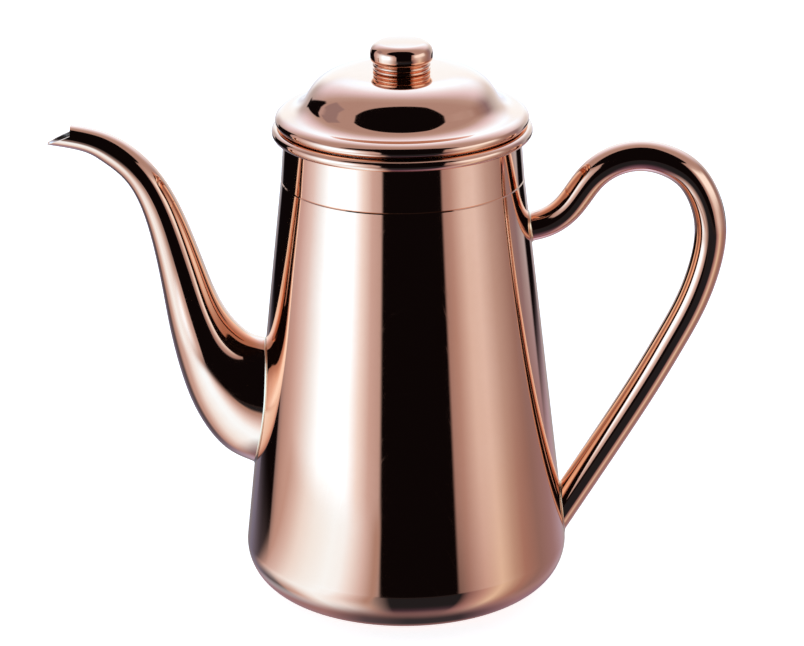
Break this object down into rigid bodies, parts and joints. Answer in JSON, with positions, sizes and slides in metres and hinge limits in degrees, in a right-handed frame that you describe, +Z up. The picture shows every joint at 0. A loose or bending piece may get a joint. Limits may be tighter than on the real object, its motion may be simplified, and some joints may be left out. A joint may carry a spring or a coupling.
{
  "type": "gooseneck coffee pot",
  "caption": "Tapered polished-copper pour-over pot with a gooseneck spout, a bent tube handle and a loose domed lid with a turned knob.",
  "frame": {"origin": "centre of the resting face, on the axis of the pot", "axes": "+Z up along the axis of the pot, the spout points along -X, the handle along +X, +Y is the side away from the viewer"},
  "size_m": [0.2437, 0.1184, 0.206],
  "materials": {
    "copper": "mirror-polished and clear-lacquered rose copper",
    "tinned_copper": "wiped tin over copper, satin",
    "silver_solder": "bright silver solder, softly polished",
    "steel": "plain stainless screw and washer"
  },
  "bodies": {
    "pot": {"base_pan": "copper", "body_cone": "copper", "neck_ring": "copper", "spout_left_half": "copper", "spout_right_half": "copper", "spout_solder": "silver_solder", "handle_tube": "copper", "handle_upper_solder": "silver_solder", "handle_lower_solder": "silver_solder"},
    "lid": {"lid_shell": "copper", "lid_collar": "tinned_copper", "knob": "copper", "knob_screw": "steel", "knob_washer": "steel"}
  },
  "joints": [
    {"name": "lid_lift", "type": "slide", "parent": "pot", "child": "lid", "axis": [0, 0, 1], "range_m": [0, 0.06]}
  ]
}
